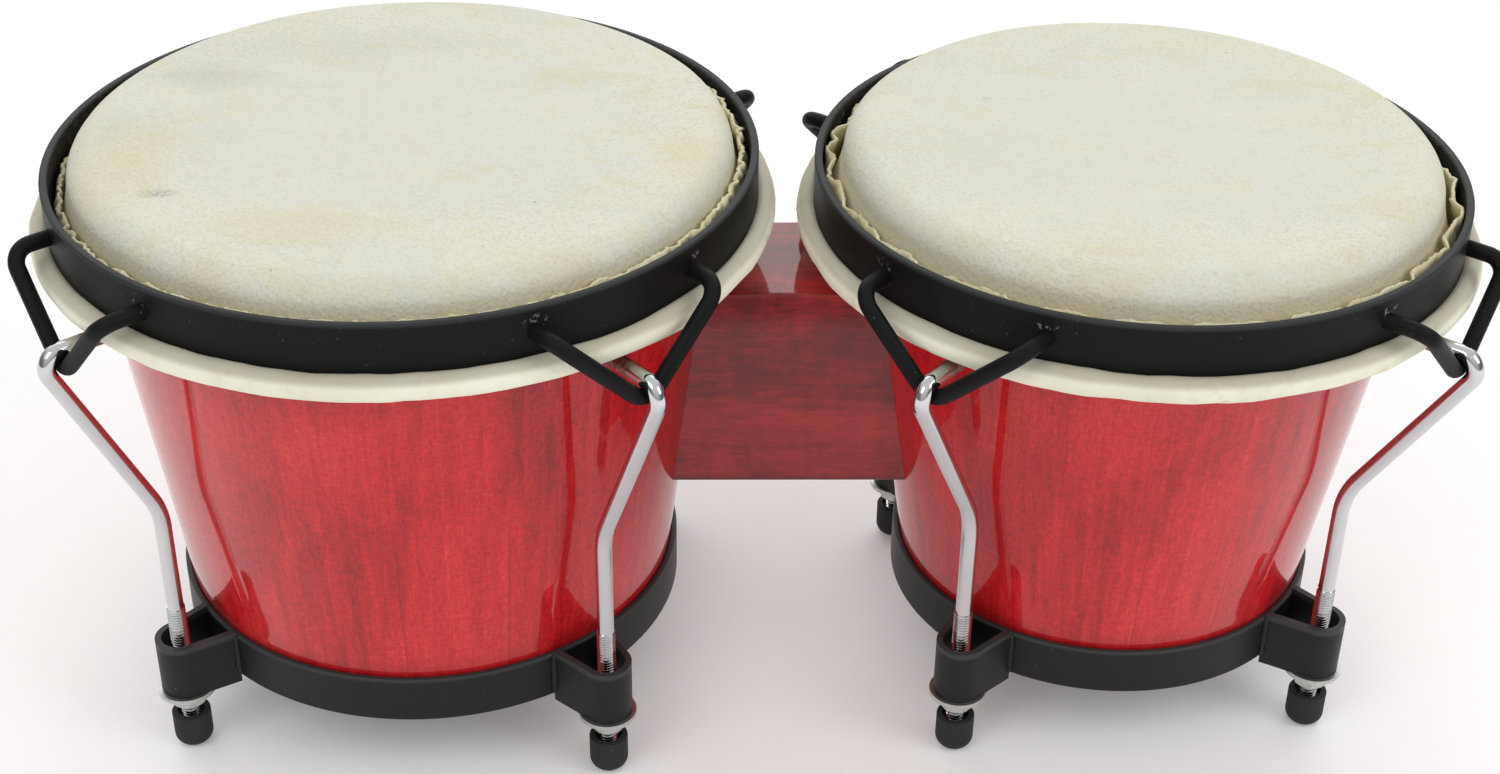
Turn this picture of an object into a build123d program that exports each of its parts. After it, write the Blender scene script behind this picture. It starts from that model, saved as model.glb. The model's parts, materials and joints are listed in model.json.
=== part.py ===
from build123d import *
from dataclasses import dataclass
from math import asin, atan2, cos, hypot, radians, sin, sqrt, tan
import os

# A pair of bongo drums joined by a wooden block, standing on eight rubber feet.
# Millimetres, +Z up, the two drums side by side along X, z = 0 at the feet.

os.makedirs("parts", exist_ok=True)

# The pair
drum_spacing = 230.6
running_gap = 0.05        # radial clearance of a turning or sliding fit

# Wooden shells
shell_wall = 9.0
shell_foot = 27.0         # height of the shell's lower edge, just inside the base ring
bearing_edge_outer = 7.4
bearing_edge_inner = 1.2

# Rawhide heads
skin = 1.2
shoulder = 9.0            # outer rounding of the skin over the bearing edge
skirt_depth = 18.0        # how far the skin hangs down the outside of the shell
skirt_flare = 2.0

# Base rings and lugs
ring_bottom = 26.0
ring_height = 16.3
ring_wall = 2.0
ring_edge = 0.6
lug_reach = 13.8          # rod centre outside the ring's outer face
lug_bottom = 23.5
lug_height = 19.8
lug_wall = 2.0
lug_end_radius = 8.0
lug_root_half_width = 10.5

# Counter-hoops, the flat bands that pull the skins down
rim_height = 16.3
rim_wall = 2.5
rim_edge = 0.8

# Flesh hoops, the round wires that the skins are wrapped around
hoop_wire_radius = 2.5
wrap_radius = 4.0
hoop_outset = 1.6         # hoop centre outside the counter-hoop's outer face
hoop_drop = 2.8           # hoop centre below the counter-hoop's lower edge
tuck_wall = 1.4
tuck_foot = 2.0           # height of the fold that joins the tuck to the wrap
tuck_top_below_rim_top = 2.5
wrap_slot = 0.5           # where the stretched skin enters the wrap

# Claws, the V stirrups welded into the counter-hoops
claw_wire_radius = 2.5
claw_bend = 6.5
claw_half_span = 28.0
claw_outset = 9.0         # legs outside the counter-hoop's outer face
claw_end_inset = 1.2      # the wire's ends stop this far short of the counter-hoop's inner face
apex_outset = 10.0

# Tension rods
rod_radius = 2.65
thread_radius = 3.0
rod_end = 4.0             # lower end of the rod, inside its rubber foot
thread_above_lug = 12.0
elbow_height = 93.0
elbow_bend = 28.0
hook_inner_length = 18.0  # from the claw's apex to the cut end of the hook

# Washers, nuts and feet
washer_radius = 9.3
washer_bore = 3.2
washer_thickness = 1.6
nut_across_flats = 10.0
nut_height = 5.0
nut_corner_cut = 0.6
nut_bore_cut = 0.25
foot_radius = 6.25
foot_height = 13.0
foot_dome = 4.2
foot_lip = 0.6
foot_mouth_radius = 4.4
foot_mouth_depth = 2.0
foot_bore_radius = 3.0

# Centre block and its bolts
block_width = 48.0
block_bottom = 77.0
block_height = 71.3
block_edge = 1.0
bolt_radius = 4.0
bolt_inset = 18.0         # from the block's upper and lower faces
bolt_length = 30.0
bolt_hole_spare = 1.0     # the hole is this much deeper than the bolt is long
bolt_head_flats = 13.0
bolt_head_height = 5.3
bolt_washer_radius = 10.5
bolt_washer_thickness = 2.0
spot_face_radius = 11.5
spot_face_depth = 2.6     # below the shell's inner face, measured at bolt height


@dataclass
class Drum:
    side: str
    inward: int           # direction of the centre block along X
    head_radius: float
    head_top: float
    rim_radius: float
    rim_top: float
    ring_radius: float
    claw_depth: float     # corner of the claw's V below its holes
    turn: float           # the lugs' turn away from the diagonals, in degrees
    centre: float = 0.0

    @property
    def shell_top_radius(self):
        return self.head_radius - skin

    @property
    def shell_top(self):
        return self.head_top - skin

    @property
    def shell_foot_radius(self):
        return self.ring_radius - ring_wall

    @property
    def rim_bottom(self):
        return self.rim_top - rim_height

    @property
    def hoop_radius(self):
        return self.rim_radius + hoop_outset

    @property
    def hoop_z(self):
        return self.rim_bottom - hoop_drop

    @property
    def hoop_outer(self):
        return self.hoop_radius + wrap_radius

    @property
    def rod_circle(self):
        return self.ring_radius + lug_reach

    @property
    def hole_z(self):
        return self.rim_top - rim_height / 2

    @property
    def apex_radius(self):
        return self.rim_radius + apex_outset

    @property
    def vee_z(self):
        return self.hole_z - self.claw_depth

    @property
    def apex_z(self):
        """Centre of the claw's wire at the bottom of its rounded V."""
        half_angle = atan2(claw_half_span, self.claw_depth)
        return self.vee_z + claw_bend / sin(half_angle) - claw_bend

    def shell_radius(self, z):
        """Outer radius of the tapered shell at a height."""
        low = ring_bottom + ring_height
        share = (z - low) / (self.shell_top - low)
        return self.shell_foot_radius + share * (self.shell_top_radius - self.shell_foot_radius)

    def stations(self):
        """The four hardware positions and their angles about the drum's axis."""
        for name, angle in (("front_outer", -135.0), ("front_inner", -45.0),
                            ("back_inner", 45.0), ("back_outer", 135.0)):
            yield name, (angle if self.inward > 0 else 180.0 - angle) - self.inward * self.turn

    def profile_plane(self):
        """Radius along local x, height along local y."""
        return Plane(origin=(self.centre, 0, 0), x_dir=(1, 0, 0), z_dir=(0, -1, 0))

    def radial_plane(self, angle):
        c, s = cos(radians(angle)), sin(radians(angle))
        return Plane(origin=(self.centre, 0, 0), x_dir=(c, s, 0), z_dir=(s, -c, 0))

    def level_plane(self, angle, z):
        """Level plane at the drum's axis with local x pointing at one station."""
        c, s = cos(radians(angle)), sin(radians(angle))
        return Plane(origin=(self.centre, 0, z), x_dir=(c, s, 0), z_dir=(0, 0, 1))

    def rod_plane(self, angle, z):
        """Level plane centred on the rod of one station."""
        c, s = cos(radians(angle)), sin(radians(angle))
        origin = (self.centre + self.rod_circle * c, self.rod_circle * s, z)
        return Plane(origin=origin, x_dir=(c, s, 0), z_dir=(0, 0, 1))

    def axis(self):
        return Axis((self.centre, 0, 0), (0, 0, 1))


left = Drum("left", 1, 102.5, 195.8, 110.4, 188.6, 84.0, 28.4, 5.5)
right = Drum("right", -1, 93.5, 192.8, 102.5, 182.9, 71.3, 26.4, 5.5)

# The origin lies midway along the pair's whole length.
left.centre = -(drum_spacing + right.hoop_outer - left.hoop_outer) / 2
right.centre = left.centre + drum_spacing


def keep(part, label):
    part.label = label
    export_step(part, f"parts/{label}.step")


def bolt_heights():
    return (block_bottom + bolt_inset, block_bottom + block_height - bolt_inset)


def spot_face_x(drum, z):
    """Where the washer of a block bolt sits inside the shell."""
    inner_face = drum.shell_radius(z) - shell_wall
    return drum.centre + drum.inward * (inner_face + spot_face_depth)


def make_shell(drum):
    low = ring_bottom + ring_height
    foot, top = drum.shell_foot_radius, drum.shell_top_radius
    with BuildPart() as shell:
        with BuildSketch(drum.profile_plane()) as profile:
            with BuildLine():
                Polyline(
                    (foot - shell_wall, shell_foot),
                    (foot, shell_foot),
                    (foot, low),
                    (top, drum.shell_top),
                    (top - shell_wall, drum.shell_top),
                    (foot - shell_wall, low),
                    close=True,
                )
            make_face()
            inner, outer = profile.vertices().group_by(Axis.Y)[-1].sort_by(Axis.X)
            fillet(outer, bearing_edge_outer)
            fillet(inner, bearing_edge_inner)
        revolve(axis=drum.axis())
        for z in bolt_heights():
            seat = spot_face_x(drum, z)
            with BuildSketch(Plane(origin=(seat, 0, z), x_dir=(0, 1, 0), z_dir=(-drum.inward, 0, 0))):
                Circle(spot_face_radius)
            extrude(amount=shell_wall, mode=Mode.SUBTRACT)
            with BuildSketch(Plane(origin=(seat, 0, z), x_dir=(0, 1, 0), z_dir=(drum.inward, 0, 0))):
                Circle(bolt_radius + running_gap)
            extrude(amount=shell_wall, mode=Mode.SUBTRACT)
    keep(shell.part, f"{drum.side}_shell")


def make_base_ring(drum):
    with BuildPart() as base_ring:
        with BuildSketch(Plane(origin=(drum.centre, 0, ring_bottom))):
            Circle(drum.ring_radius)
            Circle(drum.ring_radius - ring_wall, mode=Mode.SUBTRACT)
        extrude(amount=ring_height)
        fillet(base_ring.edges().filter_by(GeomType.CIRCLE), ring_edge)
    keep(base_ring.part, f"{drum.side}_base_ring")


def make_lugs(drum):
    reach = drum.rod_circle
    with BuildPart() as lugs:
        for _, angle in drum.stations():
            with BuildSketch(drum.level_plane(angle, lug_bottom)):
                with BuildLine():
                    root = drum.ring_radius - ring_wall / 2
                    upper = Line((root, lug_root_half_width), (reach, lug_end_radius))
                    lower = Line((root, -lug_root_half_width), (reach, -lug_end_radius))
                    ThreePointArc(upper @ 1, (reach + lug_end_radius, 0), lower @ 1)
                    Line(upper @ 0, lower @ 0)
                make_face()
                with BuildLine():
                    half, end = lug_root_half_width - lug_wall, lug_end_radius - lug_wall
                    upper = Line((root - lug_wall, half), (reach, end))
                    lower = Line((root - lug_wall, -half), (reach, -end))
                    ThreePointArc(upper @ 1, (reach + end, 0), lower @ 1)
                    Line(upper @ 0, lower @ 0)
                make_face(mode=Mode.SUBTRACT)
            extrude(amount=lug_height)
        with BuildSketch(Plane(origin=(drum.centre, 0, lug_bottom))):
            Circle(drum.ring_radius)
        extrude(amount=lug_height, mode=Mode.SUBTRACT)
    keep(lugs.part, f"{drum.side}_lugs")


def make_head(drum):
    wall, top = drum.head_radius, drum.head_top
    with BuildPart() as head:
        with BuildSketch(drum.profile_plane()):
            with BuildLine():
                crown = Line((0, top), (wall - shoulder, top))
                outer = RadiusArc(crown @ 1, (wall, top - shoulder), shoulder)
                skirt = Line(outer @ 1, (wall + skirt_flare, top - skirt_depth))
                hem = Line(skirt @ 1, (wall + skirt_flare - skin, top - skirt_depth))
                lining = Line(hem @ 1, (wall - skin, top - shoulder))
                inner = RadiusArc(lining @ 1, (wall - shoulder, top - skin), skin - shoulder)
                under = Line(inner @ 1, (0, top - skin))
                Line(under @ 1, crown @ 0)
            make_face()
        revolve(axis=drum.axis())
    keep(head.part, f"{drum.side}_head")


def make_flesh_hoop(drum):
    with BuildPart() as flesh_hoop:
        with BuildSketch(drum.profile_plane()):
            with Locations((drum.hoop_radius, drum.hoop_z)):
                Circle(hoop_wire_radius)
        revolve(axis=drum.axis())
    keep(flesh_hoop.part, f"{drum.side}_flesh_hoop")


def make_skin_wrap(drum):
    """The rim of the skin: round the wire and tucked up inside the counter-hoop."""
    rim_inner = drum.rim_radius - rim_wall
    tuck_centre = rim_inner - running_gap - tuck_wall / 2
    tuck_top = drum.rim_top - tuck_top_below_rim_top
    with BuildPart() as skin_wrap:
        with BuildSketch(drum.profile_plane()):
            with Locations((drum.hoop_radius, drum.hoop_z)):
                Circle(wrap_radius)
            with Locations((tuck_centre, (drum.hoop_z + tuck_top) / 2)):
                Rectangle(tuck_wall, tuck_top - drum.hoop_z)
            with Locations((rim_inner, drum.hoop_z + tuck_foot / 2)):
                Rectangle(2 * tuck_wall, tuck_foot)
            with Locations((drum.hoop_radius, drum.hoop_z)):
                Circle(hoop_wire_radius + running_gap, mode=Mode.SUBTRACT)
            with Locations((drum.hoop_radius - wrap_radius, drum.hoop_z - hoop_wire_radius / 2)):
                Rectangle(wrap_radius, wrap_slot, mode=Mode.SUBTRACT)
            with Locations((drum.rim_radius - rim_wall / 2, drum.rim_bottom + rim_height / 2)):
                Rectangle(rim_wall + 2 * running_gap, rim_height + 2 * running_gap, mode=Mode.SUBTRACT)
        revolve(axis=drum.axis())
    keep(skin_wrap.part, f"{drum.side}_skin_wrap")


def make_rim(drum):
    with BuildPart() as rim:
        with BuildSketch(Plane(origin=(drum.centre, 0, drum.rim_bottom))):
            Circle(drum.rim_radius)
            Circle(drum.rim_radius - rim_wall, mode=Mode.SUBTRACT)
        extrude(amount=rim_height)
        fillet(rim.edges().filter_by(GeomType.CIRCLE), rim_edge)
        for _, angle in drum.stations():
            face = drum.radial_plane(angle).x_dir
            for across in (-claw_half_span, claw_half_span):
                side = Vector(-face.Y, face.X, 0) * across
                start = Vector(drum.centre, 0, drum.hole_z) + face * (drum.rim_radius / 2) + side
                with BuildSketch(Plane(origin=start, z_dir=face)):
                    Circle(claw_wire_radius + running_gap)
                extrude(amount=drum.rim_radius, mode=Mode.SUBTRACT)
    keep(rim.part, f"{drum.side}_rim")


def claw_points(drum):
    """Half of a claw, from its end in the band to its V: distances outward, across and up."""
    band_inner = sqrt((drum.rim_radius - rim_wall) ** 2 - claw_half_span ** 2)
    return (
        (band_inner + claw_end_inset, claw_half_span, drum.hole_z),
        (drum.rim_radius + claw_outset, claw_half_span, drum.hole_z),
        (drum.apex_radius, 0, drum.vee_z),
    )


def make_claws(drum):
    end, corner, apex = claw_points(drum)
    with BuildPart() as claws:
        for _, angle in drum.stations():
            out = drum.radial_plane(angle).x_dir
            across = Vector(-out.Y, out.X, 0)
            points = []
            for reach, width, z in (end, corner, apex):
                points.append(Vector(drum.centre, 0, z) + out * reach + across * width)
            for reach, width, z in (corner, end):
                points.append(Vector(drum.centre, 0, z) + out * reach - across * width)
            with BuildLine() as wire:
                FilletPolyline(*points, radius=claw_bend)
            with BuildSketch(Plane(origin=wire.line @ 0, z_dir=wire.line % 0)):
                Circle(claw_wire_radius)
            sweep(path=wire.line)
    keep(claws.part, f"{drum.side}_claws")


def make_rod(drum, name, angle):
    """Hook over the claw's apex, slanted leg, elbow, then a threaded leg through the lug."""
    nest = claw_wire_radius + rod_radius + running_gap
    rise, run = drum.apex_z - elbow_height, drum.apex_radius - drum.rod_circle
    lean = atan2(run, rise) + asin(nest / hypot(run, rise))
    hook_z = drum.apex_z + nest
    corner = drum.rod_circle + (hook_z - elbow_height) * tan(lean)
    with BuildPart() as rod:
        with BuildLine(drum.radial_plane(angle)) as path:
            Polyline(
                (drum.apex_radius - hook_inner_length, hook_z),
                (corner, hook_z),
                (drum.rod_circle, elbow_height),
                (drum.rod_circle, rod_end),
            )
            fillet(path.vertices().group_by(Axis.Z)[1], elbow_bend)
            corners = path.vertices().group_by(Axis.Z)[-1]
            tip = drum.radial_plane(angle).from_local_coords((corner, hook_z, 0))
            fillet(corners.sort_by_distance(tip)[0], nest)
        with BuildSketch(Plane(origin=path.wire() @ 0, z_dir=path.wire() % 0)):
            Circle(rod_radius)
        sweep(path=path.wire())
        with BuildSketch(drum.rod_plane(angle, rod_end)):
            Circle(thread_radius)
        extrude(amount=lug_bottom + lug_height + thread_above_lug - rod_end)
    keep(rod.part, f"{drum.side}_rod_{name}")


def make_washers(drum):
    with BuildPart() as washers:
        for _, angle in drum.stations():
            with BuildSketch(drum.rod_plane(angle, lug_bottom)):
                Circle(washer_radius)
                Circle(washer_bore, mode=Mode.SUBTRACT)
            extrude(amount=-washer_thickness)
    keep(washers.part, f"{drum.side}_washers")


def make_nut(drum, name, angle):
    top = lug_bottom - washer_thickness - running_gap
    corner = nut_across_flats / sqrt(3)
    with BuildPart() as nut:
        with BuildSketch(drum.rod_plane(angle, top)):
            Circle(corner)
        extrude(amount=-nut_height)
        chamfer(nut.edges().filter_by(GeomType.CIRCLE), nut_corner_cut)
        with BuildSketch(drum.rod_plane(angle, top)):
            RegularPolygon(corner, 6)
        extrude(amount=-nut_height, mode=Mode.INTERSECT)
        with BuildSketch(drum.rod_plane(angle, top)):
            Circle(thread_radius + running_gap)
        extrude(amount=-nut_height, mode=Mode.SUBTRACT)
        bore = nut.edges().filter_by(GeomType.CIRCLE)
        chamfer(bore.filter_by(lambda edge: edge.radius < corner / 2 + nut_bore_cut), nut_bore_cut)
    keep(nut.part, f"{drum.side}_nut_{name}")


def make_foot(drum, name, angle):
    with BuildPart() as foot:
        with BuildSketch(drum.rod_plane(angle, 0)):
            Circle(foot_radius)
        extrude(amount=foot_height)
        fillet(foot.edges().group_by(Axis.Z)[0], foot_dome)
        fillet(foot.edges().group_by(Axis.Z)[-1], foot_lip)
        with BuildSketch(drum.rod_plane(angle, foot_height)):
            Circle(foot_mouth_radius)
        extrude(amount=-foot_mouth_depth, mode=Mode.SUBTRACT)
        with BuildSketch(drum.rod_plane(angle, foot_height)):
            Circle(foot_bore_radius)
        extrude(amount=rod_end - foot_height, mode=Mode.SUBTRACT)
    keep(foot.part, f"{drum.side}_foot_{name}")


def make_block_bolts(drum):
    with BuildPart() as block_bolts:
        for z in bolt_heights():
            head_face = spot_face_x(drum, z) - drum.inward * bolt_washer_thickness
            inward = Plane(origin=(head_face, 0, z), x_dir=(0, 1, 0), z_dir=(drum.inward, 0, 0))
            with BuildSketch(inward):
                RegularPolygon(bolt_head_flats / sqrt(3), 6)
            extrude(amount=-bolt_head_height)
            with BuildSketch(inward):
                Circle(bolt_radius)
            extrude(amount=bolt_length)
    keep(block_bolts.part, f"{drum.side}_block_bolts")


def make_block_washers(drum):
    with BuildPart() as block_washers:
        for z in bolt_heights():
            seat = spot_face_x(drum, z)
            with BuildSketch(Plane(origin=(seat, 0, z), x_dir=(0, 1, 0), z_dir=(-drum.inward, 0, 0))):
                Circle(bolt_washer_radius)
                Circle(bolt_radius + running_gap, mode=Mode.SUBTRACT)
            extrude(amount=bolt_washer_thickness)
    keep(block_washers.part, f"{drum.side}_block_washers")


def make_centre_block():
    with BuildPart() as centre_block:
        middle = (left.centre, 0, block_bottom + block_height / 2)
        with BuildSketch(Plane(origin=middle, x_dir=(0, 1, 0), z_dir=(1, 0, 0))):
            Rectangle(block_width, block_height)
        extrude(amount=drum_spacing)
        fillet(centre_block.edges().filter_by(Axis.X), block_edge)
        for drum in (left, right):
            with BuildSketch(drum.profile_plane()):
                with BuildLine():
                    Polyline(
                        (0, ring_bottom + ring_height),
                        (drum.shell_foot_radius, ring_bottom + ring_height),
                        (drum.shell_top_radius, drum.shell_top),
                        (0, drum.shell_top),
                        close=True,
                    )
                make_face()
            revolve(axis=drum.axis(), mode=Mode.SUBTRACT)
            for z in bolt_heights():
                head_face = spot_face_x(drum, z) - drum.inward * bolt_washer_thickness
                inward = Plane(origin=(head_face, 0, z), x_dir=(0, 1, 0), z_dir=(drum.inward, 0, 0))
                with BuildSketch(inward):
                    Circle(bolt_radius + running_gap)
                extrude(amount=bolt_length + bolt_hole_spare, mode=Mode.SUBTRACT)
    keep(centre_block.part, "centre_block")


for drum in (left, right):
    make_shell(drum)
    make_base_ring(drum)
    make_lugs(drum)
    make_head(drum)
    make_flesh_hoop(drum)
    make_skin_wrap(drum)
    make_rim(drum)
    make_claws(drum)
    make_washers(drum)
    make_block_bolts(drum)
    make_block_washers(drum)
    for station, angle in drum.stations():
        make_rod(drum, station, angle)
        make_nut(drum, station, angle)
        make_foot(drum, station, angle)
make_centre_block()
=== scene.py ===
import json
import math
import bpy
import bmesh
from mathutils import Matrix, Vector, noise


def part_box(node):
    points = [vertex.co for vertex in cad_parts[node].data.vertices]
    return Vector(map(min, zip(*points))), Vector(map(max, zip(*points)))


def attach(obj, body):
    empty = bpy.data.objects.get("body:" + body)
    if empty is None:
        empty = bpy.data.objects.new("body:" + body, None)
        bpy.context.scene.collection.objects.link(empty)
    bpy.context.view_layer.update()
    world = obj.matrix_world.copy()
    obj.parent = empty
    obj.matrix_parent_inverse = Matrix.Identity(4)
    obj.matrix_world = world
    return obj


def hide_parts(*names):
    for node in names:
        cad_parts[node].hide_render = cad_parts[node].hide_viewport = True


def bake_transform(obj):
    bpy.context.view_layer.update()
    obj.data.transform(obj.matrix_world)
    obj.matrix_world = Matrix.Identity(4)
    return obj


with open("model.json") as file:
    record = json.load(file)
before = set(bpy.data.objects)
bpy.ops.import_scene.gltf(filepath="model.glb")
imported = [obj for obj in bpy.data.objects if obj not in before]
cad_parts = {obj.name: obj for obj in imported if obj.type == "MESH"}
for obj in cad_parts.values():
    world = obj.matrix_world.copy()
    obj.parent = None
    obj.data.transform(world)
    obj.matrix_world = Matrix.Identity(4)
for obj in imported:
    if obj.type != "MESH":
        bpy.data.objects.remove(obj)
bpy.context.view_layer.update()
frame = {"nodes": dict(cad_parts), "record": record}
jointList = {joint["name"]: joint for joint in frame["record"]["behaviour"]["joints"]}
sides = ("left", "right")
stationNames = ("front_outer", "front_inner", "back_inner", "back_outer")
bpy.context.scene.view_settings.view_transform = "Standard"
print("frame loaded:", len(frame["nodes"]), "nodes")


def startClean():
    for other in bpy.context.selected_objects:
        other.select_set(False)
    bpy.context.view_layer.objects.active = None


def pickVertices(test):
    # in edit mode: selects the vertices that pass the test, and the edges and faces between them
    mesh = bmesh.from_edit_mesh(bpy.context.object.data)
    for item in (*mesh.faces, *mesh.edges, *mesh.verts):
        item.select = False
    for vertex in mesh.verts:
        vertex.select = bool(test(vertex.co))
    mesh.select_flush(True)
    bmesh.update_edit_mesh(bpy.context.object.data)


def growRing(axisX, fromRing, toRing):
    # extrudes the selected ring of edges about a drum's axis; a ring is (radius, height)
    bpy.ops.mesh.extrude_edges_move(TRANSFORM_OT_translate={"value": (0, 0, toRing[1] - fromRing[1])})
    share = toRing[0] / fromRing[0]
    bpy.ops.transform.resize(value=(share, share, 1), center_override=(axisX, 0, toRing[1]))


def settle(piece, name):
    # leaves the piece unturned and unscaled at the origin, with its place in its mesh
    if piece.mode != "OBJECT":
        bpy.ops.object.mode_set(mode="OBJECT")
    bpy.ops.object.transform_apply(location=True, rotation=True, scale=True)
    piece.name = name
    piece.data.name = name
    return piece


def applyModifier(piece, kind, **settings):
    bpy.context.view_layer.objects.active = piece
    modifier = piece.modifiers.new(kind.lower(), kind)
    for key, value in settings.items():
        setattr(modifier, key, value)
    bpy.ops.object.modifier_apply(modifier=modifier.name)


def smoothShade(piece, angle=None):
    startClean()
    piece.select_set(True)
    bpy.context.view_layer.objects.active = piece
    if angle is None:
        bpy.ops.object.shade_smooth()
    else:
        bpy.ops.object.shade_smooth_by_angle(angle=math.radians(angle))


def turnedCopy(piece, name, axisX, turn):
    # a copy with its own mesh, turned about a drum's axis
    twin = piece.copy()
    twin.data = piece.data.copy()
    bpy.context.scene.collection.objects.link(twin)
    about = Vector((axisX, 0, 0))
    twin.data.transform(Matrix.Translation(about) @ Matrix.Rotation(turn, 4, "Z") @ Matrix.Translation(-about))
    twin.name = name
    twin.data.name = name
    return twin


def joinPieces(pieces, name):
    startClean()
    for piece in pieces:
        piece.select_set(True)
    bpy.context.view_layer.objects.active = pieces[0]
    bpy.ops.object.join()
    return settle(pieces[0], name)


class Signal:
    # a socket that can stand in a Python sum
    def __init__(self, bench, socket):
        self.bench = bench
        self.socket = socket

    def through(self, operation, *others):
        return self.bench.node("Math", {"operation": operation}, dict(enumerate((self, *others))))

    def __add__(self, other):
        return self.through("ADD", other)

    __radd__ = __add__

    def __sub__(self, other):
        return self.through("SUBTRACT", other)

    def __rsub__(self, other):
        return self.bench.node("Math", {"operation": "SUBTRACT"}, {0: other, 1: self})

    def __mul__(self, other):
        return self.through("MULTIPLY", other)

    __rmul__ = __mul__

    def __truediv__(self, other):
        return self.through("DIVIDE", other)

    def __pow__(self, other):
        return self.through("POWER", other)

    def __abs__(self):
        return self.through("ABSOLUTE")


class Bench:
    # a node tree to build on
    def __init__(self, tree):
        self.tree = tree
        tree.nodes.clear()

    def node(self, kind, settings=None, sockets=None, output=0):
        made = self.tree.nodes.new("ShaderNode" + kind)
        for key, value in (settings or {}).items():
            if key == "stops":
                for middle in value[1:-1]:
                    made.color_ramp.elements.new(middle[0])
                for stop, (position, colour) in zip(made.color_ramp.elements, value):
                    stop.position = position
                    stop.color = (*colour, 1)
            else:
                setattr(made, key, value)
        for key, value in (sockets or {}).items():
            if isinstance(value, Signal):
                self.tree.links.new(value.socket, made.inputs[key])
            else:
                made.inputs[key].default_value = value
        if output == "all":
            return [Signal(self, socket) for socket in made.outputs]
        return Signal(self, made.outputs[output]) if made.outputs else made

    def stretched(self, vector, amounts):
        return self.node("VectorMath", {"operation": "MULTIPLY"}, {0: vector, 1: amounts})

    def noise(self, vector, scale, detail=4.0, roughness=0.5, distortion=0.0):
        return self.node("TexNoise", None, {"Vector": vector, "Scale": scale, "Detail": detail,
                                            "Roughness": roughness, "Distortion": distortion})

    def cells(self, vector, scale, feature="F1"):
        return self.node("TexVoronoi", {"feature": feature}, {"Vector": vector, "Scale": scale})

    def between(self, value, low, high):
        # 0 below low, 1 above high, smooth in between; low may be the larger
        return self.node("MapRange", {"interpolation_type": "SMOOTHSTEP"},
                         {"Value": value, "From Min": low, "From Max": high})

    def blendColours(self, share, first, second):
        colours = [value if isinstance(value, Signal) else (*value, 1) for value in (first, second)]
        return self.node("Mix", {"data_type": "RGBA"},
                         {0: share, 6: colours[0], 7: colours[1]}, 2)

    def ramp(self, value, *stops):
        return self.node("ValToRGB", {"stops": stops}, {"Fac": value})

    def bump(self, height, depth, strength=1.0):
        return self.node("Bump", None, {"Height": height, "Distance": depth, "Strength": strength})


class Finish(Bench):
    # a material on the piece's own coordinates, measured from a drum's axis
    def __init__(self, name, axisX=0.0):
        self.material = bpy.data.materials.new(name)
        self.material.use_nodes = True
        super().__init__(self.material.node_tree)
        place = self.node("TexCoord", None, None, 3)
        self.place = self.node("VectorMath", {"operation": "SUBTRACT"}, {0: place, 1: (axisX, 0, 0)})
        self.x, self.y, self.z = self.node("SeparateXYZ", None, {0: self.place}, "all")

    def radius(self):
        return (self.x * self.x + self.y * self.y) ** 0.5

    def azimuth(self):
        return self.y.through("ARCTAN2", self.x)

    def close(self, sockets):
        shader = self.node("BsdfPrincipled", None, sockets)
        self.node("OutputMaterial", None, {"Surface": shader})
        return self.material


def paint(name, material):
    for slot in frame["nodes"][name].material_slots:
        slot.material = material


def measureDrum(side):
    ring, rim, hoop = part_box(side + "_base_ring"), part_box(side + "_rim"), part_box(side + "_flesh_hoop")
    head, shell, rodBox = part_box(side + "_head"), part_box(side + "_shell"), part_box(side + "_rod_front_outer")
    axisX = (ring[0].x + ring[1].x) / 2
    nut = jointList[side + "_nut_turn_front_outer"]["pos_m"]
    wire = (hoop[1].z - hoop[0].z) / 2
    return {
        "side": side,
        "axisX": axisX,
        "ringRadius": ring[1].x - axisX, "ringLow": ring[0].z, "ringTop": ring[1].z,
        "rimRadius": rim[1].x - axisX, "rimLow": rim[0].z, "rimTop": rim[1].z,
        "hoopRadius": hoop[1].x - axisX - wire, "hoopZ": (hoop[0].z + hoop[1].z) / 2,
        "headTop": head[1].z, "headRadius": head[1].x - axisX - headSkin["skirtFlare"],
        "shellTop": shell[1].z,
        "rodTop": rodBox[1].z, "rodLow": rodBox[0].z,
        "rodCircle": math.hypot(nut[0] - axisX, nut[1]), "rodAngle": math.atan2(nut[1], nut[0] - axisX),
    }


camera = {
    "place": (-0.02085, -0.6408, 0.5066),
    "down": 32.48,
    "yaw": 1.63,
    "roll": 0.87,
    "lens": 54.6,
}


def setCamera():
    data = bpy.data.cameras.new("camera")
    data.lens, data.sensor_width = camera["lens"], 36.0
    data.clip_start, data.clip_end = 0.01, 20.0
    down, yaw, roll = (math.radians(camera[key]) for key in ("down", "yaw", "roll"))
    level = Vector((math.sin(yaw), math.cos(yaw), 0))
    side = Vector((math.cos(yaw), -math.sin(yaw), 0))
    ahead = level * math.cos(down) - Vector((0, 0, math.sin(down)))
    above = level * math.sin(down) + Vector((0, 0, math.cos(down)))
    right = side * math.cos(roll) + above * math.sin(roll)
    upward = above * math.cos(roll) - side * math.sin(roll)
    eye = bpy.data.objects.new("camera", data)
    bpy.context.scene.collection.objects.link(eye)
    facing = Matrix((right, upward, -ahead)).transposed().to_4x4()
    eye.matrix_world = Matrix.Translation(camera["place"]) @ facing
    bpy.context.scene.camera = eye


studio = {
    "floorSize": 9.0,
    "floorColours": ((0.9, 0.9, 0.9), (0.93, 0.93, 0.925)),
    "floorGlow": 0.14,
    "domeStrength": 0.72,
    "domeLow": 0.72,       # share of the dome's light near the horizon, and what the top adds
    "domeRise": 0.40,
    "backStrength": 1.3,
    "sideFade": 0.65,      # how much darker the room is to the left and right
    "lampPower": 5,
}


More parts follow.
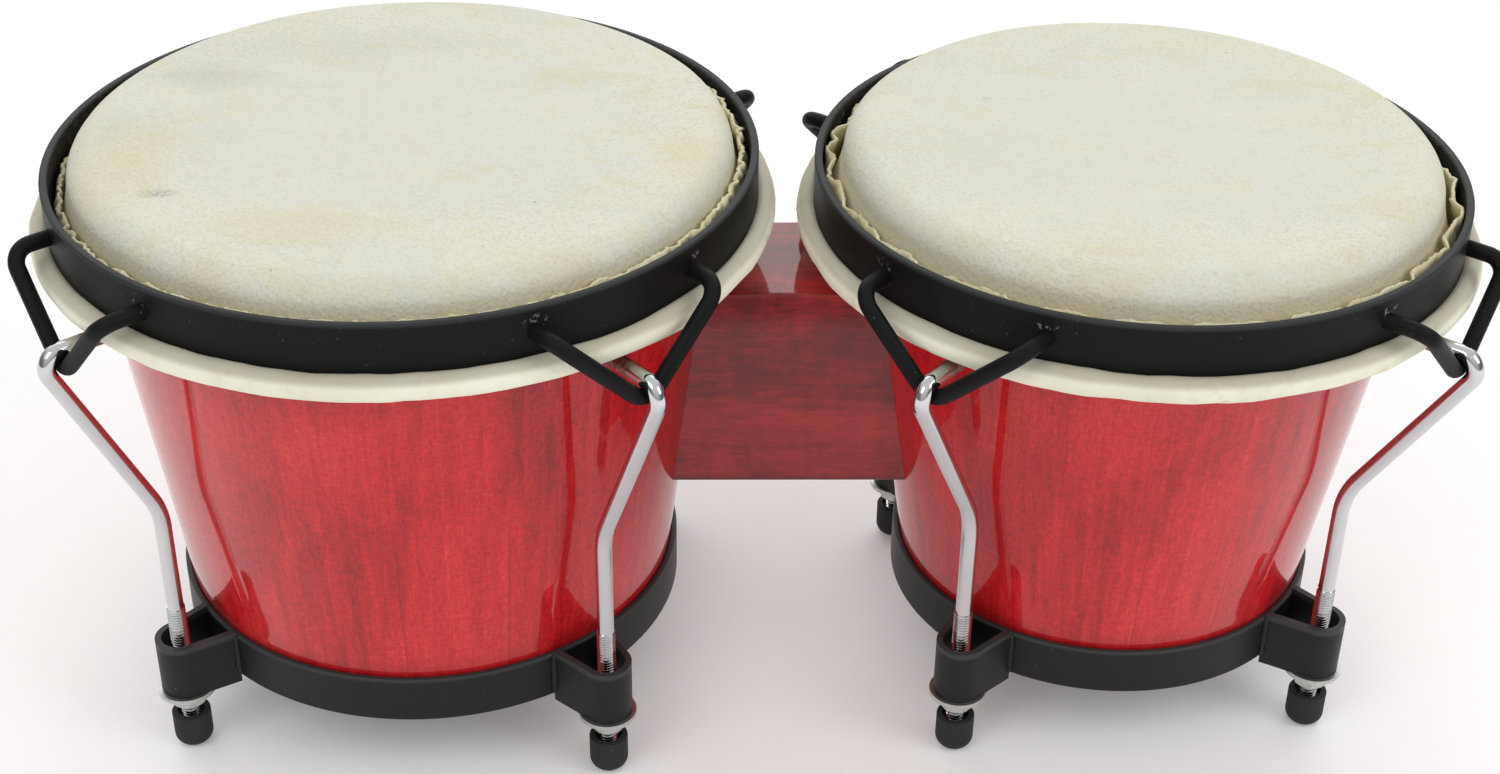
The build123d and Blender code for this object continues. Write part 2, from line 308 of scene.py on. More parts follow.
def softLamp(name, place, aim, size, power):
    data = bpy.data.lights.new(name, "AREA")
    data.shape, data.size, data.size_y, data.energy = "RECTANGLE", size[0], size[1], power
    lamp = bpy.data.objects.new(name, data)
    bpy.context.scene.collection.objects.link(lamp)
    lamp.location = place
    lamp.rotation_euler = (Vector(aim) - Vector(place)).to_track_quat("-Z", "Y").to_euler()


def setStudio():
    world = bpy.data.worlds.new("studio")
    bpy.context.scene.world = world
    world.use_nodes = True
    sky = Bench(world.node_tree)
    direction = sky.node("TexCoord", None, None, 0)
    x, y, z = sky.node("SeparateXYZ", None, {0: direction}, "all")
    behind = sky.between(y, 0.35, 0.8) * sky.between(z, 0.1, 0.4)
    beside = sky.between(abs(x), 0.3, 0.8) * sky.between(z, 0.75, 0.3)
    height = studio["domeLow"] + studio["domeRise"] * sky.between(z, 0.0, 0.7)
    dome = height * (1 - studio["sideFade"] * beside)
    strength = studio["domeStrength"] * dome + studio["backStrength"] * behind
    glow = sky.node("Background", None, {"Color": (1, 1, 1, 1), "Strength": strength})
    sky.node("OutputWorld", None, {"Surface": glow})

    startClean()
    bpy.ops.mesh.primitive_plane_add(size=studio["floorSize"], location=(0, 0, 0))
    floor = bpy.context.object
    floor.name = "floor"
    paper = Finish("floorPaper")
    tone = paper.noise(paper.place, 40, 3)
    floor.data.materials.append(paper.close({
        "Base Color": paper.blendColours(tone, *studio["floorColours"]), "Roughness": 0.85,
        "Specular IOR Level": 0.2, "Emission Color": (1, 1, 1, 1), "Emission Strength": studio["floorGlow"]}))

    middle = (0, 0, 0.1)
    softLamp("keyBox", (-0.9, -1.1, 1.5), middle, (0.9, 0.9), studio["lampPower"])
    softLamp("fillBox", (1.2, -0.7, 1.1), middle, (0.8, 0.8), studio["lampPower"])


setCamera()
setStudio()
print("camera and studio set")


headSkin = {
    "segments": 160,
    "centreDisc": 0.008,
    "flatRings": (0.02, 0.04, 0.06, 0.076),
    "shoulder": 0.009,
    "shoulderSteps": 8,
    "upperSkirt": (0.0008, 0.0135),          # outside the head's edge, and below its top
    "skirtDepth": 0.018,
    "skirtFlare": 0.002,
    # the skirt's foot, as (outside the roll's inner face, above the flesh hoop's middle)
    "footRings": ((-0.0021, 0.004), (-0.0007, 0.0008), (0.0003, -0.0012)),
    "thickness": 0.0012,
    "unevenness": 0.00025,
    "waveScale": 28,
    "settleDown": 0.0002,  # keeps the uneven skin under the head's flat top
    "leftCut": 0.28,       # across the round hide, as far as its roll, before it was soaked and stretched
    "rightCut": 0.255,
}


def makeHeadSkin(drum):
    top, radius, shoulder = drum["headTop"], drum["headRadius"], headSkin["shoulder"]
    rings = [(ring, top) for ring in headSkin["flatRings"]] + [(radius - shoulder, top)]
    for step in range(1, headSkin["shoulderSteps"] + 1):
        angle = math.pi / 2 * step / headSkin["shoulderSteps"]
        rings.append((radius - shoulder + shoulder * math.sin(angle),
                      top - shoulder + shoulder * math.cos(angle)))
    wrapInner = drum["hoopRadius"] - wrap["radius"]
    upperOut, upperDrop = headSkin["upperSkirt"]
    rings.append((radius + upperOut, top - upperDrop))
    rings.append((radius + headSkin["skirtFlare"], top - headSkin["skirtDepth"]))
    rings += [(wrapInner + out, drum["hoopZ"] + rise) for out, rise in headSkin["footRings"]]

    startClean()
    first = headSkin["centreDisc"]
    bpy.ops.mesh.primitive_circle_add(vertices=headSkin["segments"], radius=first, fill_type="TRIFAN",
                                      location=(drum["axisX"], 0, top))
    skin = bpy.context.object
    bpy.ops.object.transform_apply(location=True)
    bpy.ops.object.mode_set(mode="EDIT")
    bpy.ops.mesh.select_mode(type="EDGE")
    axis = Vector((drum["axisX"], 0))
    pickVertices(lambda place: (place.xy - axis).length > first / 2)
    previous = (first, top)
    for ring in rings:
        growRing(drum["axisX"], previous, ring)
        previous = ring
    bpy.ops.mesh.select_all(action="SELECT")
    bpy.ops.mesh.normals_make_consistent(inside=False)
    bpy.ops.object.mode_set(mode="OBJECT")
    for vertex in skin.data.vertices:  # dried hide is never quite flat
        out = (vertex.co.xy - axis).length / radius
        lift = noise.noise(vertex.co * headSkin["waveScale"]) * headSkin["unevenness"]
        vertex.co.z += lift * min(1, out * 1.4) - headSkin["settleDown"]
    outward = sum(face.normal.z for face in skin.data.polygons)
    if outward < 0:
        skin.data.flip_normals()
    applyModifier(skin, "SOLIDIFY", thickness=headSkin["thickness"], offset=-1, use_even_offset=True)
    settle(skin, drum["side"] + "_stretched_skin")
    smoothShade(skin)
    return skin


# the hide's rim is rolled round the flesh hoop and tucked up inside the band
wrap = {
    "radius": 0.004,
    "around": 24,
    "steps": 200,
    "lumps": 0.0005,
    "lumpScales": (55, 160),
}


def makeHoopWrap(drum):
    startClean()
    bpy.ops.mesh.primitive_circle_add(vertices=wrap["around"], radius=wrap["radius"], fill_type="NOTHING",
                                      location=(drum["axisX"] + drum["hoopRadius"], 0, drum["hoopZ"]),
                                      rotation=(math.pi / 2, 0, 0))
    roll = bpy.context.object
    bpy.ops.object.transform_apply(location=True, rotation=True)
    seat = drum["rimLow"] - 0.0001  # the band presses the skin flat here
    for vertex in roll.data.vertices:
        if vertex.co.x - drum["axisX"] < drum["rimRadius"] + 0.0004:
            vertex.co.z = min(vertex.co.z, seat)
    bpy.ops.object.mode_set(mode="EDIT")
    bpy.ops.mesh.select_all(action="SELECT")
    bpy.ops.mesh.spin(steps=wrap["steps"], angle=2 * math.pi, center=(drum["axisX"], 0, drum["hoopZ"]),
                      axis=(0, 0, 1))
    bpy.ops.mesh.select_all(action="SELECT")
    bpy.ops.mesh.remove_doubles(threshold=0.00002)
    bpy.ops.mesh.normals_make_consistent(inside=False)
    bpy.ops.object.mode_set(mode="OBJECT")
    coarse, fine = wrap["lumpScales"]
    for vertex in roll.data.vertices:
        out = Vector((vertex.co.x - drum["axisX"], vertex.co.y, 0))
        core = out.normalized() * drum["hoopRadius"] + Vector((drum["axisX"], 0, drum["hoopZ"]))
        swell = noise.noise(vertex.co * coarse) + 0.5 * noise.noise(vertex.co * fine)
        if out.length > drum["rimRadius"] + 0.0005 or vertex.co.z < drum["hoopZ"]:
            vertex.co += (vertex.co - core).normalized() * swell * wrap["lumps"]
    settle(roll, drum["side"] + "_hoop_wrap")
    smoothShade(roll)
    return roll


tuck = {
    "columns": 900,
    "rows": 9,
    "thickness": 0.0009,
    "startHeight": 0.0016,  # above the flesh hoop's middle
    "startOutset": 0.0002,
    "bandWall": 0.0025,
    "bandGap": 0.0001,
    "rag": 0.0007,
    "skirtGap": 0.0014,    # kept clear of the stretched skin
    # azimuth in degrees, drop of the edge below the band's top, fold depth, both in mm
    "left": ((-180, 6.4, 3.0), (-160, 5.6, 3.6), (-140, 3.0, 3.4), (-122, 1.8, 2.2),
             (-60, 1.7, 3.2), (-30, 1.4, 4.4), (10, 1.9, 4.2), (60, 3.0, 2.4),
             (130, 4.0, 2.0), (165, 6.8, 2.6), (180, 6.4, 3.0)),
    "right": ((-180, 2.4, 3.4), (-166, 1.9, 3.6), (-150, 1.6, 3.4), (-125, 1.5, 3.0),
              (-60, 1.7, 2.6), (-24, 1.5, 3.8), (12, 2.0, 4.2), (60, 3.2, 2.4),
              (105, 5.6, 2.8), (130, 4.6, 5.2), (160, 2.6, 5.0), (180, 2.4, 3.4)),
    "leftFolds": 58,
    "rightFolds": 25,
    "leftSlant": 2.2,
    "rightSlant": 0.35,
    "leftSwing": 0.4,      # regular folds against crumpling
    "rightSwing": 0.95,
}


def alongTuck(keys, degrees):
    for (start, *low), (end, *high) in zip(keys, keys[1:]):
        if start <= degrees <= end:
            share = (degrees - start) / (end - start)
            share = share * share * (3 - 2 * share)
            return [a + (b - a) * share for a, b in zip(low, high)]
    return list(keys[-1][1:])


def makeTuckedEdge(drum):
    side, axisX = drum["side"], drum["axisX"]
    face = drum["rimRadius"] - tuck["bandWall"] - tuck["thickness"] / 2 - tuck["bandGap"]
    start = face + tuck["startOutset"]
    low, top = drum["hoopZ"] + tuck["startHeight"], drum["rimTop"]
    startClean()
    bpy.ops.mesh.primitive_circle_add(vertices=tuck["columns"], radius=start, fill_type="NOTHING",
                                      location=(axisX, 0, low))
    edge = bpy.context.object
    bpy.ops.object.transform_apply(location=True)
    bpy.ops.object.mode_set(mode="EDIT")
    bpy.ops.mesh.select_mode(type="EDGE")
    bpy.ops.mesh.select_all(action="SELECT")
    previous = (start, low)
    for row in range(1, tuck["rows"] + 1):
        ring = (face, low + (top - low) * row / tuck["rows"])
        growRing(axisX, previous, ring)
        previous = ring
    bpy.ops.object.mode_set(mode="OBJECT")
    mostInward = face - tuck["thickness"] / 2 - drum["headRadius"] - tuck["skirtGap"]
    folds, slant, swing = tuck[side + "Folds"], tuck[side + "Slant"], tuck[side + "Swing"]
    for vertex in edge.data.vertices:
        azimuth = math.atan2(vertex.co.y, vertex.co.x - axisX)
        drop, depth = alongTuck(tuck[side], math.degrees(azimuth))
        around = Vector((math.cos(azimuth), math.sin(azimuth), 0))
        height = min(1.0, max(0.0, (vertex.co.z - low) / (top - low)))
        rag = noise.noise(around * 21) + 0.8 * noise.noise(around * 63 + Vector((0, 0, 5)))
        rag += 0.5 * noise.noise(around * 150 + Vector((0, 0, 9)))
        edgeZ = top - drop / 1000 + tuck["rag"] * rag
        wander = 2.2 * noise.noise(around * 4.2) + 1.6 * noise.noise(around * 13)
        phase = azimuth * folds + wander * 1.4 + slant * height * 2
        wave = 0.62 + swing * (0.42 * math.sin(phase) + 0.10 * math.sin(2 * phase + 0.8))
        crumple = 0.5 * noise.noise(vertex.co * 260) + 0.34 * noise.noise(vertex.co * 520)
        crumple = crumple * (1.25 - 0.95 * swing) + 0.15 * noise.noise(vertex.co * 1100)
        inward = depth / 1000 * (wave + crumple) * height ** 1.6
        radius = face - min(max(0.0, inward), mostInward)
        vertex.co.x = axisX + radius * math.cos(azimuth)
        vertex.co.y = radius * math.sin(azimuth)
        vertex.co.z = low + (edgeZ - low) * height
    applyModifier(edge, "SOLIDIFY", thickness=tuck["thickness"], offset=0, use_even_offset=False)
    settle(edge, side + "_tucked_edge")
    bpy.ops.object.mode_set(mode="EDIT")
    bpy.ops.mesh.select_all(action="SELECT")
    bpy.ops.mesh.normals_make_consistent(inside=False)
    bpy.ops.object.mode_set(mode="OBJECT")
    smoothShade(edge)
    return edge


rod = {
    "radius": 0.00265,
    "threadRadius": 0.003,
    "threadDepth": 0.0006,
    "pitch": 0.001,
    "threadAboveLug": 0.012,
    "threadSteps": 20,
    "shankOverlap": 0.0015,   # the plain shank starts this far below the thread's top
    "around": 28,
    "elbowHeight": 0.093,
    "elbowBend": 0.028,
    "elbowSteps": 10,
    "nest": 0.0052,           # the hook's bend about the claw's wire
    "hookSteps": 16,
    "apexOutset": 0.010,
    "hookLength": 0.018,
    "endChamfer": 0.0004,
    "endShrink": 0.86,
}


def makeThread(low, high):
    # a V thread about the Z axis, cut square at both ends
    crest, root, pitch = rod["threadRadius"], rod["threadRadius"] - rod["threadDepth"], rod["pitch"]
    start = low - 2 * pitch
    startClean()
    bpy.ops.mesh.primitive_plane_add(size=0.0001, location=(root, 0, start))
    thread = bpy.context.object
    bpy.ops.object.transform_apply(location=True)
    bpy.ops.object.mode_set(mode="EDIT")
    bpy.ops.mesh.select_mode(type="VERT")
    bpy.ops.mesh.select_all(action="SELECT")
    bpy.ops.mesh.merge(type="CENTER")
    for outward, upward in ((0, 0.14), (crest - root, 0.34), (0, 0.18), (root - crest, 0.34)):
        bpy.ops.mesh.extrude_region_move(TRANSFORM_OT_translate={"value": (outward, 0, upward * pitch)})
    bpy.ops.object.mode_set(mode="OBJECT")
    turns = int((high - start) / pitch) + 3
    applyModifier(thread, "SCREW", angle=2 * math.pi, screw_offset=pitch, iterations=turns,
                  steps=rod["threadSteps"], render_steps=rod["threadSteps"],
                  use_merge_vertices=True, merge_threshold=0.00001)
    bpy.ops.object.mode_set(mode="EDIT")
    for height, down in ((low, True), (high, False)):
        bpy.ops.mesh.select_all(action="SELECT")
        bpy.ops.mesh.bisect(plane_co=(0, 0, height), plane_no=(0, 0, 1), use_fill=True,
                            clear_inner=down, clear_outer=not down)
    bpy.ops.mesh.select_all(action="SELECT")
    bpy.ops.mesh.remove_doubles(threshold=0.00001)
    bpy.ops.mesh.normals_make_consistent(inside=False)
    bpy.ops.object.mode_set(mode="OBJECT")
    return thread


def makeRod(drum):
    apexRadius = drum["rimRadius"] + rod["apexOutset"]
    apexZ = drum["rodTop"] - rod["radius"] - rod["nest"]
    run, rise = apexRadius - drum["rodCircle"], apexZ - rod["elbowHeight"]
    lean = math.atan2(run, rise) + math.asin(rod["nest"] / math.hypot(run, rise))
    setBack = rod["elbowBend"] * math.tan(lean / 2)
    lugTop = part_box(drum["side"] + "_lugs")[1].z
    threadTop = lugTop + rod["threadAboveLug"]
    shankLow = threadTop - rod["shankOverlap"]
    slant = Vector((math.sin(lean), 0, math.cos(lean)))
    circle = drum["rodCircle"]

    startClean()
    bpy.ops.mesh.primitive_circle_add(vertices=rod["around"], radius=rod["radius"], fill_type="NGON",
                                      location=(circle, 0, shankLow))
    shank = bpy.context.object
    bpy.ops.object.transform_apply(location=True)
    bpy.ops.object.mode_set(mode="EDIT")
    bpy.ops.mesh.select_mode(type="EDGE")
    bpy.ops.mesh.select_all(action="SELECT")
    # up the straight leg, round the elbow, up the slanted leg, over the claw and in
    elbowStart = rod["elbowHeight"] - setBack
    bpy.ops.mesh.extrude_region_move(TRANSFORM_OT_translate={"value": (0, 0, elbowStart - shankLow)})
    bpy.ops.mesh.spin(steps=rod["elbowSteps"], angle=-lean, axis=(0, 1, 0),
                      center=(circle + rod["elbowBend"], 0, elbowStart))
    elbowEnd = Vector((circle, 0, rod["elbowHeight"])) + slant * setBack
    sideways = Vector((math.cos(lean), 0, -math.sin(lean)))
    hookStart = Vector((apexRadius, 0, apexZ)) + sideways * rod["nest"]
    bpy.ops.mesh.extrude_region_move(TRANSFORM_OT_translate={"value": hookStart - elbowEnd})
    bpy.ops.mesh.spin(steps=rod["hookSteps"], angle=math.pi / 2 + lean, axis=(0, 1, 0),
                      center=(apexRadius, 0, apexZ))
    chamfer, shrink = rod["endChamfer"], rod["endShrink"]
    bpy.ops.mesh.extrude_region_move(TRANSFORM_OT_translate={"value": (chamfer - rod["hookLength"], 0, 0)})
    bpy.ops.mesh.extrude_region_move(TRANSFORM_OT_translate={"value": (-chamfer, 0, 0)})
    endX = apexRadius - rod["hookLength"]
    bpy.ops.transform.resize(value=(1, shrink, shrink), center_override=(endX, 0, apexZ + rod["nest"]))
    bpy.ops.mesh.select_all(action="SELECT")
    bpy.ops.mesh.remove_doubles(threshold=0.00001)
    bpy.ops.mesh.normals_make_consistent(inside=False)
    bpy.ops.object.mode_set(mode="OBJECT")

    thread = makeThread(drum["rodLow"], threadTop)
    thread.data.transform(Matrix.Translation((circle, 0, 0)))
    whole = joinPieces([shank, thread], "rod")
    whole.data.transform(Matrix.Translation((drum["axisX"], 0, 0)) @ Matrix.Rotation(drum["rodAngle"], 4, "Z"))
    smoothShade(whole, 42)
    return whole


# weld beads where the lugs meet the base ring
bead = {
    "radius": 0.0013,
    "around": 14,
    "halfWidth": 0.0103,
    "endGap": 0.0004,
    "outset": 0.0002,
    "taperLength": 0.002,
    "lumps": 0.0003,
    "lumpScale": 420,
    "steps": 12,
}


def makeLugWelds(drum):
    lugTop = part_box(drum["side"] + "_lugs")[1].z
    low, high = drum["ringLow"] + bead["endGap"], min(lugTop, drum["ringTop"]) - bead["endGap"]
    step = (high - low) / bead["steps"]
    reach = math.sqrt(drum["ringRadius"] ** 2 - bead["halfWidth"] ** 2) + bead["outset"]
    beads = []
    for station in range(4):
        for across in (-bead["halfWidth"], bead["halfWidth"]):
            startClean()
            bpy.ops.mesh.primitive_circle_add(vertices=bead["around"], radius=bead["radius"], fill_type="NGON",
                                              location=(reach, across, low))
            weld = bpy.context.object
            bpy.ops.object.transform_apply(location=True)
            bpy.ops.object.mode_set(mode="EDIT")
            bpy.ops.mesh.select_mode(type="FACE")
            bpy.ops.mesh.select_all(action="SELECT")
            for _ in range(bead["steps"]):
                bpy.ops.mesh.extrude_region_move(TRANSFORM_OT_translate={"value": (0, 0, step)})
            bpy.ops.mesh.select_all(action="SELECT")
            bpy.ops.mesh.normals_make_consistent(inside=False)
            bpy.ops.object.mode_set(mode="OBJECT")
            core = Vector((reach, across))
            for vertex in weld.data.vertices:
                near = min(vertex.co.z - low, high - vertex.co.z)
                taper = 0.5 + 0.5 * min(1, near / bead["taperLength"])
                seed = station * 7.0 + across * 300  # each bead gets its own lumps
                lump = noise.noise(Vector((vertex.co.z * bead["lumpScale"], seed, 0)))
                away = (vertex.co.xy - core) * (taper + lump * bead["lumps"] / bead["radius"])
                vertex.co.xy = core + away
            turn = drum["rodAngle"] + station * math.pi / 2
            weld.data.transform(Matrix.Translation((drum["axisX"], 0, 0)) @ Matrix.Rotation(turn, 4, "Z"))
            beads.append(weld)
    welds = joinPieces(beads, drum["side"] + "_lug_welds")
    smoothShade(welds, 60)
    return welds


drums = [measureDrum(side) for side in sides]
pieces = {}
for drum in drums:
    side, rimBody = drum["side"], drum["side"] + "_rim_set"
    skin = makeHeadSkin(drum)
    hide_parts(side + "_head")
    skirtLow = drum["headTop"] - headSkin["skirtDepth"]
    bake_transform(skin)
    roll = makeHoopWrap(drum)
    edge = makeTuckedEdge(drum)
    for piece in (roll, edge):
        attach(piece, rimBody)
        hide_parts(side + "_skin_wrap")
    cut = headSkin[side + "Cut"]
    side + "_shell"
    side + "_flesh_hoop"
    pieces[side, "skin"], pieces[side, "roll"], pieces[side, "edge"] = skin, roll, edge
    print(side, "skin made")

    firstRod = makeRod(drum)
    spots = {}
    for station in stationNames:
        nut = jointList[side + "_nut_turn_" + station]["pos_m"]
        spots[station] = math.atan2(nut[1], nut[0] - drum["axisX"])
    for station in stationNames[1:]:
        turn = spots[station] - drum["rodAngle"]
        pieces[side, station] = turnedCopy(firstRod, side + "_hook_rod_" + station, drum["axisX"], turn)
    firstRod.name = firstRod.data.name = side + "_hook_rod_front_outer"
    pieces[side, "front_outer"] = firstRod
    for station in stationNames:
        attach(pieces[side, station], rimBody)
        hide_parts(side + "_rod_" + station)
    pieces[side, "welds"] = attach(makeLugWelds(drum), "frame")
    print(side, "rods and welds made")


# cherry stain and clear lacquer over upright staves
cherry = {
    "deep": (0.25, 0.002, 0.004),
    "body": (0.61, 0.011, 0.016),
    "bright": (0.84, 0.046, 0.044),
    "staves": 16,
    "insideLow": (0.045, 0.008, 0.006),
    "insideHigh": (0.10, 0.018, 0.014),
    "pores": (0.12, 0.002, 0.003),
    "footInset": 0.002,    # how far inside the base ring's outer face the shell's foot is
}


def makeCherryLacquer(drum):
    wood = Finish(drum["side"] + "CherryLacquer", drum["axisX"])
    footRadius = drum["ringRadius"] - cherry["footInset"]
    topRadius = drum["headRadius"] - headSkin["thickness"]
    slope = (topRadius - footRadius) / (drum["shellTop"] - drum["ringTop"])
    cone = (wood.z - drum["ringTop"]) * slope + footRadius
    cone = cone.through("MAXIMUM", footRadius)
    # the grain runs up the tapered staves
    staveTurn = wood.azimuth() * (cherry["staves"] / (2 * math.pi))
    stave = staveTurn.through("FLOOR")
    chance = wood.node("TexWhiteNoise", {"noise_dimensions": "1D"}, {"W": stave})
    shift = wood.node("CombineXYZ", None, {0: 0.0, 1: 0.0, 2: chance * 3.0})
    flat = wood.node("CombineXYZ", None, {0: wood.x / cone * 0.1, 1: wood.y / cone * 0.1, 2: wood.z * 0.10})
    grainPlace = wood.node("VectorMath", {"operation": "ADD"}, {0: flat, 1: shift})
    streaks = wood.noise(grainPlace, 260, 6, 0.62, 0.6)
    fibres = wood.noise(wood.stretched(grainPlace, (1, 1, 2.2)), 1500, 3, 0.6)
    poreGrid = wood.noise(wood.stretched(grainPlace, (1, 1, 4.5)), 2600, 2, 0.5)
    pores = wood.between(poreGrid, 0.60, 0.70)
    blotch = wood.noise(wood.stretched(wood.place, (1, 1, 0.55)), 19, 4, 0.55, 0.9)
    cloud = wood.noise(wood.place, 7, 2, 0.5)
    fleck = wood.noise(wood.stretched(wood.place, (1, 1, 0.6)), 900, 3, 0.65)
    rays = wood.noise(wood.stretched(wood.place, (1, 1, 3.5)), 330, 3, 0.6)
    tone = streaks * 0.36 + blotch * 0.36 + cloud * 0.28 + (chance - 0.5) * 0.09 + (fibres - 0.5) * 0.22
    tone = tone + (fleck - 0.5) * 0.22 + (rays - 0.5) * 0.20
    colour = wood.ramp(tone, (0.32, cherry["deep"]), (0.51, cherry["body"]), (0.70, cherry["bright"]))
    jointLine = abs(staveTurn - stave - 0.5)
    crack = wood.between(jointLine, 0.486, 0.499) * wood.between(cloud, 0.42, 0.56)
    colour = wood.blendColours(crack * 0.55, colour, cherry["deep"])
    colour = wood.blendColours(pores * 0.38, colour, cherry["pores"])
    # painted shade: the shell darkens towards its foot, just above the base ring
    foot = wood.between(wood.z, drum["ringTop"] + 0.010, drum["ringTop"] - 0.001)
    colour = wood.blendColours(foot * 0.35, colour, cherry["deep"])
    # dry dull stain inside and on the cut edges
    inner = wood.between(cone - wood.radius(), 0.0015, 0.003)
    bare = wood.blendColours(streaks, cherry["insideLow"], cherry["insideHigh"])
    colour = wood.blendColours(inner, colour, bare)
    height = fibres * 0.35 - pores * 0.8 + streaks * 0.4
    rough = 0.36 + 0.18 * streaks + inner * 0.35
    return wood.close({
        "Base Color": colour, "Roughness": rough, "Specular IOR Level": 0.1, "Coat Weight": 0.95 - 0.95 * inner,
        "Coat Roughness": 0.03, "Coat IOR": 1.47, "Normal": wood.bump(height, 0.00006, 0.5)})


# the block's grain lies along X
block = {
    "deep": (0.060, 0.003, 0.008),
    "body": (0.34, 0.011, 0.015),
    "bright": (0.74, 0.028, 0.024),
    "pores": (0.03, 0.003, 0.004),
    # the colour of the painted shade along the block's edges
    "edge": (0.07, 0.006, 0.008),
}


def makeBlockLacquer():
    wood = Finish("blockLacquer")
    low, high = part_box("centre_block")
    line = wood.stretched(wood.place, (0.11, 1, 1))
    streaks = wood.noise(line, 330, 6, 0.65, 0.8)
    fibres = wood.noise(wood.stretched(wood.place, (0.04, 1, 1)), 2100, 3, 0.6)
    blotch = wood.noise(wood.stretched(wood.place, (0.6, 1, 0.9)), 38, 5, 0.6, 0.5)
    curl = wood.noise(wood.stretched(wood.place, (1, 0.3, 0.22)), 150, 3, 0.6)
    lower = wood.between(wood.z, low.z + 0.045, low.z + 0.020)
    upper = wood.between(wood.z, high.z - 0.016, high.z - 0.004)
    strip = upper * wood.between(wood.z, high.z - 0.0002, high.z - 0.0014)
    fleck = wood.noise(wood.place, 300, 5, 0.7)
    tone = streaks * 0.30 + blotch * 0.44 + curl * 0.18 + fibres * 0.14 + fleck * 0.20
    tone = tone - 0.135 + 0.09 * lower + 0.03 * upper
    colour = wood.ramp(tone, (0.34, block["deep"]), (0.50, block["body"]), (0.66, block["bright"]))
    pores = wood.between(wood.noise(wood.stretched(wood.place, (0.09, 1, 1)), 2600, 2), 0.58, 0.70)
    colour = wood.blendColours(pores * 0.45, colour, block["pores"])
    # painted shade: darker within 3 mm of the block's bottom and towards its front and back faces
    edge = wood.between(wood.z, low.z + 0.003, low.z) + wood.between(abs(wood.y), high.y - 0.0015, high.y)
    colour = wood.blendColours(edge * 0.45, colour, block["edge"])
    height = fibres * 0.4 + streaks * 0.5 - pores
    return wood.close({
        "Base Color": colour, "Roughness": 0.42 + 0.2 * streaks, "Specular IOR Level": 0.1,
        "Coat Weight": 0.9 - 0.65 * strip, "Coat Roughness": 0.05, "Coat IOR": 1.5,
        "Normal": wood.bump(height, 0.00007, 0.6)})


hide = {
    "pale": (0.745, 0.740, 0.640),
    "grey": (0.705, 0.715, 0.635),
    "straw": (0.72, 0.66, 0.40),
    "dusky": (0.50, 0.50, 0.40),
    "cream": (0.74, 0.69, 0.50),
    "skirt": (0.66, 0.60, 0.36),
    "speck": (0.22, 0.20, 0.16),
    "mottle": (0.58, 0.53, 0.36),
    "freckle": (0.50, 0.42, 0.25),
    "smudge": (0.20, 0.18, 0.14),
    "hollowShade": (0.60, 0.54, 0.35),
    # the colour of the painted shade in the grain's dimples
    "vein": (0.48, 0.45, 0.33),
    # stains listed one by one: x, y from the drum's axis, half widths, all in mm, then strength
    "left": {
        "straw": ((87, -20, 13, 22, 0.9), (-22, -66, 36, 14, 0.8),
                  (-80, -28, 18, 36, 0.9), (48, -84, 26, 9, 0.4)),
        "dusky": ((-64, 34, 22, 13, 0.6), (-20, 60, 50, 16, 0.2), (-88, -6, 8, 18, 0.3)),
        "smudge": (-66.5, -47.5),
    },
    "right": {
        "straw": ((66, -48, 11, 11, 0.7), (60, 8, 20, 14, 0.35),
                  (-14, -74, 36, 8, 0.4), (26, 66, 30, 12, 0.4)),
        "dusky": ((-40, -20, 40, 34, 0.10),),
        "smudge": None,
    },
}


